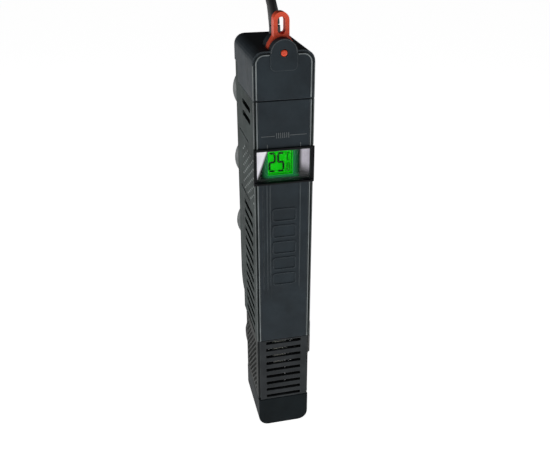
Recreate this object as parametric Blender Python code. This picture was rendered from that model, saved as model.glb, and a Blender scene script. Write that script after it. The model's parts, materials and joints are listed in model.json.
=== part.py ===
"""Submersible aquarium heater with an electronic display, stood upright on its foot.

X runs across the front, Y runs back from the front face and Z runs up from the foot. Every size below
is in millimetres; meshes are scaled to metres as they are made. All pieces hang from one empty, which
puts the middle of the foot's outline on the scene's origin.
"""

import math

import bmesh
import bpy
from mathutils import Vector

MM = 0.001
GAP = 0.3
WALL = 2.0

# Outer body
BODY_HALF = 18.6
BASKET_HALF = 18.2
SHELL_DEPTH = 50.0
BASKET_DEPTH = 45.5
CAP_DEPTH = 60.5
FOOT_TOP = 23.5
BASKET_TOP = 75.0
SHELL_TOP = 245.0
CAP_TOP = 273.8
CAP_CORNER = 6.8
FOOT_CORNER = 7.0

# Front face
RAIL_FRONT = 0.2
RAIL_INNER = 17.8
FASCIA_HALF = 16.9
FASCIA_BACK = 2.1
FRONT_WALL = 2.4
PANEL_HALF = 16.8
WINDOW_BOTTOM = 193.7
WINDOW_TOP = 214.3
FRAME_HALF = 19.0
FRAME_FRONT = -1.3
UPPER_LIP = 1.6
LOWER_LIP = 1.3

# Slots in the guard shell and the basket
SIDE_SLOTS = 14
SIDE_SLOT_FIRST = 77.0
SIDE_SLOT_PITCH = 6.97
SIDE_SLOT_HEIGHT = 3.4
VENT_SLOT_HEIGHTS = (229.5, 237.0)
FRONT_SLOTS = 9
FRONT_SLOT_FIRST = 26.5
FRONT_SLOT_PITCH = 5.78
FRONT_SLOT_HEIGHT = 2.3
FRONT_SLOT_HALF = 12.5
MESH_PITCH = 4.4
MESH_COLUMNS = 8
MESH_ROWS = 10
MESH_HOLE = 1.35
MESH_START = (9.6, 28.4)

# Release tabs
TAB_HINGE_X = 17.7
TAB_HINGE_Y = 17.6
TAB_BOTTOM = 175.1
TAB_TOP = 214.4
TAB_BACK = 49.7
TAB_INNER = 16.8
TAB_END_GAP = 0.8

# Cap: its rim groove, its screws and the lever's ears
GROOVE_DEPTH = 1.2
SCREW_PLACES = {"cap_screw_left": (-11.5, 266.0), "cap_screw_right": (11.5, 266.0)}
SCREW_HEAD = 2.6
SCREW_SHANK = 1.3
PIVOT_Z = 272.5
EAR_RADIUS = 8.0
EAR_FRONT = -0.5
EAR_BOTTOM = 262.4
REAR_EAR_RADIUS = 8.2
REAR_EAR_BACK = 21.0

# Lever
LEVER_FRONT = 6.1
LEVER_BACK = 12.3
POCKET_FRONT = 5.5
POCKET_BACK = 12.9
HUB_RADIUS = 8.3
LOOP_HALF = 4.65
LOOP_FOOT = 280.6
LOOP_TOP_CENTRE = 289.6
LOOP_HOLE_RADIUS = 2.35
LOOP_HOLE_BOTTOM = 284.1
PIN_RADIUS = 1.9
PIN_BACK = 18.0
MAGNET_OFFSET = 6.1
MAGNET_RADIUS = 1.3
SPRING_RADIUS = 3.05
SPRING_WIRE = 0.25
SPRING_TURNS = 2.5

# Bracket and suction cups
BRACKET_BOTTOM = 88.0
BRACKET_TOP = 257.1
BRACKET_FRONT = 50.3
BRACKET_BACK = 60.0
BRACKET_HALF = 18.2
BRACKET_WEB = 57.5
BRACKET_CURVE = ((5.4, 1.6), (2.9, 4.4), (1.1, 8.0), (0.2, 12.0), (0.0, 15.0))
CUP_HEIGHTS = {"suction_cup_bottom": 136.0, "suction_cup_middle": 185.5, "suction_cup_top": 235.0}
CUP_RADIUS = 18.7
CUP_RIM = 71.2
CUP_STEM = 2.9

# Heater tube
TUBE_Y = 17.6
TUBE_RADIUS = 11.0
TUBE_BOTTOM = 36.0
TUBE_TOP = 184.0
COIL_RADIUS = 6.3
COIL_TURNS = 11
COIL_BOTTOM = 50.0
COIL_TOP = 130.0
LEADS = {"heater_lead_left": -5.4, "heater_lead_right": 5.4}
RINGS = {
    "tube_collar": (12.9, 166.0, 174.6, "component_black"),
    "tube_seal": (12.7, 174.9, 178.2, "black_rubber"),
}

# Electronics housing: wide in front of the tabs, narrow between them
HOUSING_FRONT = 4.7
HOUSING_STEP = 16.5
HOUSING_BACK = 43.5
HOUSING_WIDE = 15.7
HOUSING_NARROW = 12.8
HOUSING_BOTTOM = 178.5
HOUSING_TOP = 238.0
HOUSING_WALL = 1.5
ELECTRONICS = {
    "lcd_module": ((-8.6, 8.6, 10.3, 12.4, 193.8, 211.0), "lcd_green"),
    "backlight": ((-8.6, 8.6, 12.7, 14.6, 193.8, 211.0), "clear_lens"),
    "control_board": ((-10.8, 10.8, 17.6, 19.2, 188.0, 236.0), "board_green"),
    "triac": ((-5.0, 5.0, 19.5, 24.0, 190.0, 205.0), "component_black"),
    "relay": ((-10.0, 4.0, 19.5, 33.0, 208.5, 221.5), "component_black"),
    "sensor_board": ((-11.0, 11.0, 4.0, 18.6, 256.8, 258.3), "board_green"),
}
REED_SWITCHES = {"reed_switch_left": -4.5, "reed_switch_right": 4.5}

# Mains cord: it leaves the cap, arches over the back and is put away as a hank behind the foot
CORD_RADIUS = 3.0
GLAND_PLACE = (0.4, 25.6)
GLAND_BOTTOM = 258.0
GLAND_TOP = 283.6
CORD_ROUTE = (
    (0.4, 25.6, 284.3),
    (0.1, 25.7, 288.5),
    (-0.6, 26.2, 293.0),
    (-1.7, 27.6, 298.5),
    (-2.6, 31.0, 306.5),
    (-2.0, 36.5, 315.0),
    (0.2, 44.0, 322.3),
    (3.4, 53.5, 326.4),
    (6.8, 63.5, 325.6),
    (9.3, 72.5, 320.2),
    (10.6, 79.5, 311.0),
    (10.9, 83.6, 300.5),
    (11.3, 85.2, 289.8),
    (12.6, 86.0, 278.5),
    (13.5, 86.4, 267.0),
    (13.2, 86.6, 254.0),
    (10.6, 86.4, 225.0),
    (5.0, 85.8, 180.0),
    (-1.4, 84.8, 120.0),
    (-5.0, 84.0, 70.0),
    (-6.0, 84.0, 42.0),
    (-6.2, 84.6, 26.5),
    (-6.1, 88.2, 14.6),
    (-5.8, 97.0, 5.9),
    (-4.9, 109.0, 3.2),
    (-4.0, 118.0, 3.2),
)
HANK_START = (19.5, 79.0)
HANK_TURN = -2.86
HANK_RUN = 90.0
HANK_HALF = 21.0
HANK_BOTTOM = 1.3
HANK_TOP = 30.6
TIE_WIDTH = 8.0
TIE_THICK = 1.0
TIE_PLACES = {"hank_tie_near": 5.0, "hank_tie_far": 72.0}
PLUG_REAR = 62.0
PLUG_RELIEF = 13.0
PLUG_BODY = 35.0
PLUG_HALF = 17.6
PLUG_THICK = 13.7
PLUG_BOTTOM = 32.2
PIN_LENGTH = 19.0
PIN_SPACING = 18.6
LEAD_ROUTE = (
    (-8.6, 36.5, 34.4),
    (-5.0, 45.0, 36.9),
    (-1.6, 53.5, 38.6),
    (-0.1, 58.0, 39.0),
    (0.0, 61.4, 39.05),
)

MATERIALS = {
    "charcoal_plastic": ((0.030, 0.036, 0.042), 0.45, 0.0),
    "grey_plastic": ((0.055, 0.070, 0.070), 0.55, 0.0),
    "black_gloss": ((0.008, 0.009, 0.010), 0.2, 0.0),
    "red_plastic": ((0.62, 0.065, 0.03), 0.35, 0.0),
    "clear_lens": ((0.80, 0.85, 0.85), 0.05, 0.0),
    "lcd_green": ((0.0, 0.42, 0.0), 0.3, 0.0),
    "board_green": ((0.02, 0.16, 0.05), 0.5, 0.0),
    "component_black": ((0.02, 0.02, 0.02), 0.4, 0.0),
    "sensor_glass": ((0.25, 0.45, 0.35), 0.1, 0.0),
    "cup_silicone": ((0.36, 0.40, 0.40), 0.35, 0.0),
    "tube_glass": ((0.70, 0.78, 0.76), 0.03, 0.0),
    "ceramic": ((0.75, 0.72, 0.65), 0.8, 0.0),
    "bright_steel": ((0.55, 0.55, 0.55), 0.3, 1.0),
    "brass_pin": ((0.70, 0.55, 0.25), 0.3, 1.0),
    "black_rubber": ((0.012, 0.012, 0.013), 0.6, 0.0),
}


def clear_scene():
    """Remove every object that a new file starts with."""
    for obj in list(bpy.data.objects):
        bpy.data.objects.remove(obj, do_unlink=True)


def make_material(name):
    """A Principled material with one of the colours in MATERIALS."""
    colour, roughness, metallic = MATERIALS[name]
    material = bpy.data.materials.new(name)
    material.use_nodes = True
    shader = material.node_tree.nodes["Principled BSDF"]
    shader.inputs["Base Color"].default_value = (*colour, 1.0)
    shader.inputs["Roughness"].default_value = roughness
    shader.inputs["Metallic"].default_value = metallic
    return material


def make_empty(name, parent=None, location=(0.0, 0.0, 0.0), turn=0.0):
    """An empty that others hang from, turned about Z by so many degrees."""
    empty = bpy.data.objects.new(name, None)
    empty.location = Vector(location) * MM
    empty.rotation_euler.z = math.radians(turn)
    empty.parent = parent
    bpy.context.scene.collection.objects.link(empty)
    return empty


# Outlines: lists of two-number points, in order round the shape


def arc(centre, radius, start, end, steps):
    """Points on an arc from one angle to another, in degrees, both ends included."""
    angles = (math.radians(start + (end - start) * i / steps) for i in range(steps + 1))
    return [(centre[0] + radius * math.cos(a), centre[1] + radius * math.sin(a)) for a in angles]


def rounded_rect(left, right, low, high, low_radius=0.0, high_radius=0.0, steps=6):
    """A rectangle whose two lower and two upper corners may be round."""
    points = []
    corners = (
        (right - low_radius, low + low_radius, low_radius, -90),
        (right - high_radius, high - high_radius, high_radius, 0),
        (left + high_radius, high - high_radius, high_radius, 90),
        (left + low_radius, low + low_radius, low_radius, 180),
    )
    for a, b, radius, start in corners:
        points += arc((a, b), radius, start, start + 90, steps) if radius else [(a, b)]
    return points


def mirrored(right):
    """A whole outline from its right half, whose points run from the front to the back."""
    return right + [(-a, b) for a, b in reversed(right)]


def circle(centre, radius, segments):
    """Points round a whole circle, without repeating the first."""
    return arc(centre, radius, 0, 360, segments)[:-1]


# Solids as bmesh geometry, in millimetres


def to_3d(point, along, axis):
    """A point of an outline drawn across an axis, at a place along that axis."""
    a, b = point
    return {"x": (along, a, b), "y": (a, along, b), "z": (a, b, along)}[axis]


def add_prism(bm, outline, start, end, axis):
    """An outline pushed along an axis from start to end."""
    low, high = ([bm.verts.new(to_3d(p, along, axis)) for p in outline] for along in (start, end))
    bm.faces.new(low)
    bm.faces.new(list(reversed(high)))
    for i in range(len(outline)):
        j = (i + 1) % len(outline)
        bm.faces.new((low[i], high[i], high[j], low[j]))


def add_ring(bm, outer, inner, start, end, axis):
    """The band between two outlines with equally many points, pushed along an axis."""
    loops = [[bm.verts.new(to_3d(p, along, axis)) for p in outline]
             for outline, along in ((outer, start), (outer, end), (inner, end), (inner, start))]
    for k, loop in enumerate(loops):
        following = loops[(k + 1) % 4]
        for i in range(len(loop)):
            j = (i + 1) % len(loop)
            bm.faces.new((loop[i], following[i], following[j], loop[j]))


def add_lathe(bm, profile, axis, segments, centre=(0.0, 0.0)):
    """A profile of (radius, along) points turned about an axis through the centre, where it ends."""
    rings = []
    for radius, along in profile:
        outline = circle(centre, radius, segments) if radius else [centre]
        rings.append([bm.verts.new(to_3d(p, along, axis)) for p in outline])
    for one, two in zip(rings, rings[1:]):
        for i in range(segments):
            j = (i + 1) % segments
            corners = [one[i % len(one)], two[i % len(two)], two[j % len(two)], one[j % len(one)]]
            bm.faces.new(dict.fromkeys(corners))


def add_sweep(bm, path, radius, sides):
    """A round wire along a path of points, with flat ends."""
    points = [Vector(p) for p in path]
    rings = []
    side = Vector((0.0, 0.0, 1.0)).cross(points[1] - points[0]).normalized()
    for i, point in enumerate(points):
        ahead = points[min(i + 1, len(points) - 1)] - points[max(i - 1, 0)]
        ahead.normalize()
        side = (side - ahead * side.dot(ahead)).normalized()
        up = ahead.cross(side)
        turned = circle((0.0, 0.0), radius, sides)
        rings.append([bm.verts.new(point + side * a + up * b) for a, b in turned])
    for one, two in zip(rings, rings[1:]):
        for i in range(sides):
            j = (i + 1) % sides
            bm.faces.new((one[i], one[j], two[j], two[i]))
    bm.faces.new(list(reversed(rings[0])))
    bm.faces.new(rings[-1])


# Objects


def finish_object(name, bm, parent, origin, material):
    """Turn geometry into an object whose own origin is at the point given."""
    bmesh.ops.translate(bm, vec=-Vector(origin), verts=bm.verts)
    bmesh.ops.scale(bm, vec=(MM, MM, MM), verts=bm.verts)
    bmesh.ops.recalc_face_normals(bm, faces=bm.faces)
    mesh = bpy.data.meshes.new(name)
    bm.to_mesh(mesh)
    bm.free()
    mesh.shade_smooth()
    mesh.set_sharp_from_angle(angle=math.radians(35))
    if material:
        mesh.materials.append(material)
    obj = bpy.data.objects.new(name, mesh)
    obj.location = Vector(origin) * MM
    obj.parent = parent
    bpy.context.scene.collection.objects.link(obj)
    return obj


def solid(name, shapes, parent, material, origin=(0.0, 0.0, 0.0)):
    """An object made of shapes, each a function and the values it takes after the bmesh."""
    bm = bmesh.new()
    for add, *values in shapes:
        add(bm, *values)
    return finish_object(name, bm, parent, origin, material)


def cutter(name, shapes, parent):
    """A hidden solid that another object's Boolean uses."""
    obj = solid(name, shapes, parent, None)
    obj.hide_render = True
    obj.display_type = "WIRE"
    return obj


def combine(obj, other, operation):
    """Add a Boolean to an object."""
    modifier = obj.modifiers.new(other.name, "BOOLEAN")
    modifier.object = other
    modifier.operation = operation
    modifier.solver = "EXACT"


def cut(obj, name, shapes):
    """Cut shapes out of an object; shapes given together don't touch each other."""
    combine(obj, cutter(name, shapes, obj.parent), "DIFFERENCE")


def join(obj, name, shapes):
    """Fuse shapes to an object."""
    combine(obj, cutter(name, shapes, obj.parent), "UNION")


def block(left, right, front, back, low, high):
    """A box, as a shape for solid() or cut()."""
    return (add_prism, rounded_rect(left, right, front, back), low, high, "z")


def rod(centre, radius, start, end, axis, segments=20):
    """A cylinder, as a shape for solid() or cut()."""
    return (add_prism, circle(centre, radius, segments), start, end, axis)


# Groups of pieces


def build_foot_and_basket(frame, materials):
    """The closed foot, and the basket with its front slots and side mesh."""
    foot = solid(
        "foot_cap",
        [(add_prism, rounded_rect(-BASKET_HALF, BASKET_HALF, 0.0, FOOT_TOP, FOOT_CORNER), 0.4,
          BASKET_DEPTH, "y")],
        frame, materials["charcoal_plastic"])
    inner = BASKET_HALF - WALL
    cut(foot, "foot_hollow",
        [(add_prism, rounded_rect(-inner, inner, WALL, FOOT_TOP + 1, FOOT_CORNER - WALL), 0.4 + WALL,
          BASKET_DEPTH - WALL, "y")])

    front = PANEL_HALF
    outline = mirrored([(front, 0.4), (front, FRONT_WALL)]
                       + [(BASKET_HALF, FRONT_WALL)]
                       + arc((BASKET_HALF - 2, BASKET_DEPTH - 2), 2.0, 0, 90, 3))
    basket = solid(
        "lower_basket", [(add_prism, outline, FOOT_TOP + GAP, BASKET_TOP, "z")], frame,
        materials["charcoal_plastic"])
    cut(basket, "basket_hollow",
        [block(-front + 1, front - 1, FRONT_WALL, BASKET_DEPTH - WALL, FOOT_TOP - 1, BASKET_TOP + 1)])
    cut(basket, "front_slots", [
        block(-FRONT_SLOT_HALF, FRONT_SLOT_HALF, -1, 4, z - FRONT_SLOT_HEIGHT / 2, z + FRONT_SLOT_HEIGHT / 2)
        for z in (FRONT_SLOT_FIRST + FRONT_SLOT_PITCH * i for i in range(FRONT_SLOTS))])
    holes = []
    for row in range(2 * MESH_ROWS - 1):
        for column in range(MESH_COLUMNS - row % 2):
            y = MESH_START[0] + MESH_PITCH * (column + row % 2 / 2)
            z = MESH_START[1] + MESH_PITCH * row / 2
            holes.append((add_prism, circle((y, z), MESH_HOLE, 4), -20, 20, "x"))
    cut(basket, "side_mesh_holes", holes)


def build_guard_shell(frame, materials):
    """The long guard: corner rails, side slots, a window, and room for the release tabs."""
    outline = mirrored([(RAIL_INNER, FRONT_WALL), (RAIL_INNER, RAIL_FRONT), (BODY_HALF - 0.4, RAIL_FRONT),
                        (BODY_HALF, RAIL_FRONT + 0.4)]
                       + arc((BODY_HALF - 2, SHELL_DEPTH - 2), 2.0, 0, 90, 4))
    shell = solid("guard_shell", [(add_prism, outline, BASKET_TOP + GAP, SHELL_TOP, "z")], frame,
                  materials["grey_plastic"])
    inner = BODY_HALF - WALL
    cut(shell, "shell_hollow",
        [block(-inner, inner, FRONT_WALL + WALL, SHELL_DEPTH - WALL, BASKET_TOP - 1, SHELL_TOP + 1)])
    cut(shell, "window_hole", [block(-14.5, 14.5, 1, 6, WINDOW_BOTTOM + 1.5, WINDOW_TOP - 1.5)])
    slots = [(SIDE_SLOT_FIRST + SIDE_SLOT_PITCH * i, 8.5, 37.0) for i in range(SIDE_SLOTS)]
    slots += [(z, 10.0, 36.0) for z in VENT_SLOT_HEIGHTS]
    half = SIDE_SLOT_HEIGHT / 2
    cut(shell, "side_slots", [block(-20, 20, front, back, z - half, z + half) for z, front, back in slots])
    for side in (-1, 1):
        opening = [(20, TAB_HINGE_Y - GAP), (20, 52), (13.2, 52), (13.2, 46.8), (16.0, 46.8),
                   (16.0, TAB_HINGE_Y - GAP)]
        cut(shell, "tab_opening_" + ("right" if side > 0 else "left"),
            [(add_prism, [(side * a, b) for a, b in opening], TAB_BOTTOM - TAB_END_GAP, TAB_TOP + TAB_END_GAP,
              "z")])


def build_release_tabs(frame, materials):
    """Two side panels that flex inward about their front edges."""
    for name, side in (("left_release_tab", -1), ("right_release_tab", 1)):
        outline = [(BODY_HALF, TAB_HINGE_Y), (BODY_HALF, TAB_BACK - 1.2), (BODY_HALF - 0.5, TAB_BACK),
                   (TAB_INNER, TAB_BACK), (TAB_INNER, TAB_HINGE_Y)]
        solid(name, [(add_prism, [(side * a, b) for a, b in outline], TAB_BOTTOM, TAB_TOP, "z")], frame,
              materials["grey_plastic"], origin=(side * TAB_HINGE_X, TAB_HINGE_Y, TAB_BOTTOM))


def build_front(frame, materials):
    """Two front panels, the window frame and the clear lens."""
    for name, low, high in (("lower_fascia", BASKET_TOP + 0.5, WINDOW_BOTTOM - 0.4),
                            ("upper_fascia", WINDOW_TOP + 0.4, SHELL_TOP - 0.2)):
        solid(name, [block(-FASCIA_HALF, FASCIA_HALF, 0.0, FASCIA_BACK, low, high)], frame,
              materials["charcoal_plastic"])
    opening_half = FRAME_HALF - 1.9
    window = solid(
        "window_frame",
        [(add_ring, rounded_rect(-FRAME_HALF, FRAME_HALF, WINDOW_BOTTOM - LOWER_LIP, WINDOW_TOP + UPPER_LIP),
          rounded_rect(-opening_half, opening_half, WINDOW_BOTTOM, WINDOW_TOP), FRAME_FRONT, -GAP, "y")],
        frame, materials["black_gloss"])
    cut(window, "post_relief",
        [block(-20, 20, FRAME_FRONT - 1, -0.7, WINDOW_BOTTOM + 0.6, WINDOW_TOP - 0.6)])
    solid("display_lens",
          [block(-FASCIA_HALF, FASCIA_HALF, 0.1, FASCIA_BACK, WINDOW_BOTTOM, WINDOW_TOP)],
          frame, materials["clear_lens"])


def build_head_cap(frame, materials):
    """The cap with its two ears, the lever's pocket and the cord's bore, and two screws behind."""
    outline = rounded_rect(-BODY_HALF, BODY_HALF, SHELL_TOP + GAP, CAP_TOP, 0.0, CAP_CORNER)
    cap = solid("head_cap", [(add_prism, outline, RAIL_FRONT, CAP_DEPTH, "y")], frame,
                materials["charcoal_plastic"])
    outer = rounded_rect(-RAIL_INNER, RAIL_INNER, SHELL_TOP - 5, CAP_TOP - 0.8, 0.0, CAP_CORNER - 0.8)
    inner = rounded_rect(-PANEL_HALF, PANEL_HALF, SHELL_TOP - 4, CAP_TOP - 1.8, 0.0, CAP_CORNER - 1.8)
    cut(cap, "cap_groove", [(add_ring, outer, inner, -1.0, GROOVE_DEPTH, "y")])
    pivot = (0.0, PIVOT_Z)
    ear = rounded_rect(-EAR_RADIUS, EAR_RADIUS, EAR_BOTTOM, PIVOT_Z + EAR_RADIUS, 3.0, EAR_RADIUS, 12)
    join(cap, "front_ear", [(add_prism, ear, EAR_FRONT, POCKET_FRONT + 0.2, "y")])
    join(cap, "rear_ear", [rod(pivot, REAR_EAR_RADIUS, POCKET_BACK - 0.2, REAR_EAR_BACK, "y", 36)])
    cut(cap, "bracket_step", [block(-20, 20, SHELL_DEPTH, 62, SHELL_TOP - 2, BRACKET_TOP + GAP)])
    cut(cap, "cap_hollow", [block(-16, 16, WALL + 0.2, SHELL_DEPTH - WALL, SHELL_TOP - 2, 261)])
    cut(cap, "cap_roof_hollow", [block(-14, 14, 31.5, SHELL_DEPTH - WALL, 260, 271)])
    cut(cap, "lever_pocket", [rod(pivot, HUB_RADIUS + 0.6, POCKET_FRONT, POCKET_BACK, "y", 36)])
    cut(cap, "pivot_bore", [rod(pivot, PIN_RADIUS + 0.4, -2, PIN_BACK + 0.5, "y")])
    cut(cap, "gland_bore", [rod(GLAND_PLACE, 4.6, 255, 276, "z", 24)])
    wide, narrow = SCREW_HEAD + GAP, SCREW_SHANK + GAP
    bore = [(0, 61), (wide, 61), (wide, 57.4), (narrow, 57.4), (narrow, 51.5), (0, 51.5)]
    cut(cap, "screw_bores", [(add_lathe, bore, "y", 16, place) for place in SCREW_PLACES.values()])
    profile = [(0, 59.2), (SCREW_HEAD - 0.6, 59.2), (SCREW_HEAD, 58.6), (SCREW_HEAD, 57.7),
               (SCREW_SHANK, 57.7), (SCREW_SHANK, 52.2), (0, 51.8)]
    for name, place in SCREW_PLACES.items():
        solid(name, [(add_lathe, profile, "y", 14, place)], frame, materials["bright_steel"])


def build_lever(frame, materials):
    """The temperature lever, with its pin, magnet and return spring, all on the pivot's axis."""
    hub = (0.0, PIVOT_Z)
    flare = 35
    outline = arc(hub, HUB_RADIUS, 180 - flare, 360 + flare, 22)
    outline += [(LOOP_HALF, LOOP_FOOT)] + arc((0.0, LOOP_TOP_CENTRE), LOOP_HALF, 0, 180, 12)
    outline += [(-LOOP_HALF, LOOP_FOOT)]
    origin = (0.0, LEVER_FRONT, PIVOT_Z)
    lever = solid("temperature_lever", [(add_prism, outline, LEVER_FRONT, LEVER_BACK, "y")], frame,
                  materials["red_plastic"], origin)
    hole = (arc((0.0, LOOP_TOP_CENTRE - 0.45), LOOP_HOLE_RADIUS, 0, 180, 8)
            + arc((0.0, LOOP_HOLE_BOTTOM), LOOP_HOLE_RADIUS, 180, 360, 8))
    cut(lever, "loop_hole", [(add_prism, hole, 0, 20, "y")])
    cut(lever, "lever_bore", [rod(hub, PIN_RADIUS + GAP, 0, 20, "y")])
    spring_front = LEVER_FRONT + 3.65
    cut(lever, "spring_recess", [rod(hub, SPRING_RADIUS + 0.85, spring_front - 0.55, 20, "y")])
    magnet = (0.0, PIVOT_Z - MAGNET_OFFSET)
    magnet_front = LEVER_FRONT + 2.5
    cut(lever, "magnet_recess", [rod(magnet, MAGNET_RADIUS + GAP, magnet_front - GAP, 20, "y", 12)])
    solid("lever_magnet", [rod(magnet, MAGNET_RADIUS, magnet_front, LEVER_BACK - 0.2, "y", 12)], frame,
          materials["bright_steel"], origin)
    pin = [(0, -0.9), (1.3, -0.9), (PIN_RADIUS, -0.5), (PIN_RADIUS, PIN_BACK), (0, PIN_BACK)]
    solid("lever_pivot_pin", [(add_lathe, pin, "y", 20, hub)], frame, materials["red_plastic"], origin)
    steps = 12
    helix = []
    for i in range(int(SPRING_TURNS * steps) + 1):
        turned = 2 * math.pi * i / steps
        helix.append((SPRING_RADIUS * math.cos(turned), spring_front + 2.0 * i / (SPRING_TURNS * steps),
                      PIVOT_Z + SPRING_RADIUS * math.sin(turned)))
    solid("lever_return_spring", [(add_sweep, helix, SPRING_WIRE, 5)], frame, materials["bright_steel"],
          origin)


def build_tube(frame, materials):
    """The glass tube with its heating element, its collar and seals, and the water sensor."""
    centre = (0.0, TUBE_Y)
    inner = TUBE_RADIUS - 1.3
    outside = [(0, TUBE_BOTTOM), (4.5, TUBE_BOTTOM + 0.7), (8.2, TUBE_BOTTOM + 3.0),
               (10.3, TUBE_BOTTOM + 6.5), (TUBE_RADIUS, TUBE_BOTTOM + 11), (TUBE_RADIUS, TUBE_TOP)]
    inside = [(inner, TUBE_TOP), (inner, TUBE_BOTTOM + 11), (9.0, TUBE_BOTTOM + 7.5),
              (7.2, TUBE_BOTTOM + 4.2), (4.0, TUBE_BOTTOM + 2.1), (0, TUBE_BOTTOM + 1.6)]
    solid("glass_tube", [(add_lathe, outside + inside, "z", 24, centre)], frame, materials["tube_glass"])
    solid("ceramic_core", [rod(centre, 4.0, 44, 150, "z", 12)], frame, materials["ceramic"])
    steps = 10
    rise = (COIL_TOP - COIL_BOTTOM) / (COIL_TURNS * steps)
    helix = [(COIL_RADIUS * math.cos(2 * math.pi * i / steps),
              TUBE_Y + COIL_RADIUS * math.sin(2 * math.pi * i / steps), COIL_BOTTOM + rise * i)
             for i in range(COIL_TURNS * steps + 1)]
    solid("heating_coil", [(add_sweep, helix, 0.5, 4)], frame, materials["bright_steel"])
    for name, x in LEADS.items():
        solid(name, [rod((x, TUBE_Y), 0.6, 133, 186, "z", 6)], frame, materials["bright_steel"])
    solid("thermal_fuse", [rod(centre, 1.8, 155, 168, "z", 10)], frame, materials["ceramic"])
    bore = circle(centre, TUBE_RADIUS + 0.4, 24)
    for name, (radius, low, high, material) in RINGS.items():
        solid(name, [(add_ring, circle(centre, radius, 24), bore, low, high, "z")], frame,
              materials[material])
    solid("water_temperature_sensor", [rod((0.0, 37.0), 2.0, 168, 178.2, "z", 12)], frame,
          materials["bright_steel"])


def housing_outline(inset):
    """The housing's plan, drawn in from its outer face by the inset."""
    wide, narrow = HOUSING_WIDE - inset, HOUSING_NARROW - inset
    front, step, back = HOUSING_FRONT + inset, HOUSING_STEP - inset, HOUSING_BACK - inset
    return mirrored([(wide, front), (wide, step), (narrow, step), (narrow, back)])


def build_electronics(frame, materials):
    """The sealed housing, its lid, the display and the control board."""
    housing = solid("head_housing", [(add_prism, housing_outline(0), HOUSING_BOTTOM, HOUSING_TOP, "z")],
                    frame, materials["component_black"])
    cut(housing, "housing_hollow",
        [(add_prism, housing_outline(HOUSING_WALL), HOUSING_BOTTOM + HOUSING_WALL, HOUSING_TOP + 1, "z")])
    cut(housing, "display_hole", [block(-13.5, 13.5, 3, 8, WINDOW_BOTTOM + 1.8, WINDOW_TOP - 1.8)])
    cut(housing, "tube_hole", [rod((0.0, TUBE_Y), TUBE_RADIUS + 0.4, 175, 182, "z", 24)])
    solid("lid_seal", [(add_ring, housing_outline(0.2), housing_outline(1.4), HOUSING_TOP + GAP,
                        HOUSING_TOP + 1.2, "z")], frame, materials["black_rubber"])
    solid("housing_lid", [(add_prism, housing_outline(0), HOUSING_TOP + 1.5, HOUSING_TOP + 3.5, "z")],
          frame, materials["component_black"])
    solid("inner_cord", [rod(GLAND_PLACE, CORD_RADIUS, HOUSING_TOP + 3.8, GLAND_BOTTOM - 0.4, "z", 12)],
          frame, materials["black_rubber"])

    solid("display_mask",
          [(add_ring, rounded_rect(-13.8, 13.8, WINDOW_BOTTOM - 2, WINDOW_TOP + 2),
            rounded_rect(-8.1, 8.1, 194.3, 210.4), 8.9, 10.0, "y")], frame, materials["black_gloss"])
    for name, (corners, material) in ELECTRONICS.items():
        solid(name, [block(*corners)], frame, materials[material])
    solid("capacitor", [rod((5.0, 229.0), 5.0, 19.5, 31.0, "y", 16)], frame, materials["component_black"])
    for name, x in REED_SWITCHES.items():
        solid(name, [rod((x, 259.65), 1.0, 5.0, 17.0, "y", 8)], frame, materials["sensor_glass"])


def build_bracket(frame, materials):
    """The channel behind the body, and three suction cups whose stems pass through it."""
    profile = [(BRACKET_FRONT, BRACKET_BOTTOM), (52.0, BRACKET_BOTTOM)]
    profile += [(BRACKET_BACK - drop, BRACKET_BOTTOM + rise) for drop, rise in BRACKET_CURVE]
    profile += [(BRACKET_BACK, BRACKET_TOP), (BRACKET_FRONT, BRACKET_TOP)]
    bracket = solid("mounting_bracket", [(add_prism, profile, -BRACKET_HALF, BRACKET_HALF, "x")], frame,
                    materials["grey_plastic"])
    inner = BRACKET_HALF - WALL
    cut(bracket, "bracket_channel",
        [(add_prism, [(49.0, BRACKET_BOTTOM + 3), (52.0, BRACKET_BOTTOM + 3),
                      (BRACKET_WEB, BRACKET_BOTTOM + 13), (BRACKET_WEB, BRACKET_TOP - 2.5),
                      (49.0, BRACKET_TOP - 2.5)], -inner, inner, "x")])
    cut(bracket, "stem_holes",
        [rod((0.0, z), CUP_STEM + GAP, 55, 62, "y") for z in CUP_HEIGHTS.values()])
    profile = [(0, 53.4), (4.2, 53.4), (4.8, 54.4), (4.8, 57.1), (CUP_STEM, 57.1), (CUP_STEM, 60.4),
               (6.5, 60.4), (7.0, 63.0), (12.5, 64.6), (16.6, 67.8), (CUP_RADIUS, CUP_RIM),
               (16.2, CUP_RIM), (12.0, 68.4), (6.0, 66.4), (0, 65.8)]
    for name, z in CUP_HEIGHTS.items():
        solid(name, [(add_lathe, profile, "y", 24, (0.0, z))], frame, materials["cup_silicone"])


# The mains cord and its plug


def smooth_route(route, spacing):
    """Points read at even spacing from one smooth curve through a route's own points."""
    knots = [Vector(p) for p in route]
    knots = [2 * knots[0] - knots[1], *knots, 2 * knots[-1] - knots[-2]]
    fine = []
    for a, b, c, d in zip(knots, knots[1:], knots[2:], knots[3:]):
        for i in range(24):
            t = i / 24
            fine.append(0.5 * (2 * b + (c - a) * t + (2 * a - 5 * b + 4 * c - d) * t ** 2
                               + (3 * b - a - 3 * c + d) * t ** 3))
    fine.append(knots[-2])
    steps = [(two - one).length for one, two in zip(fine, fine[1:])]
    count = max(2, round(sum(steps) / spacing))
    points, travelled, target = [fine[0]], 0.0, sum(steps) / count
    for one, two, step in zip(fine, fine[1:], steps):
        while travelled + step >= target * len(points) and len(points) < count:
            points.append(one.lerp(two, (target * len(points) - travelled) / step))
        travelled += step
    return [*points, fine[-1]]


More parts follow.
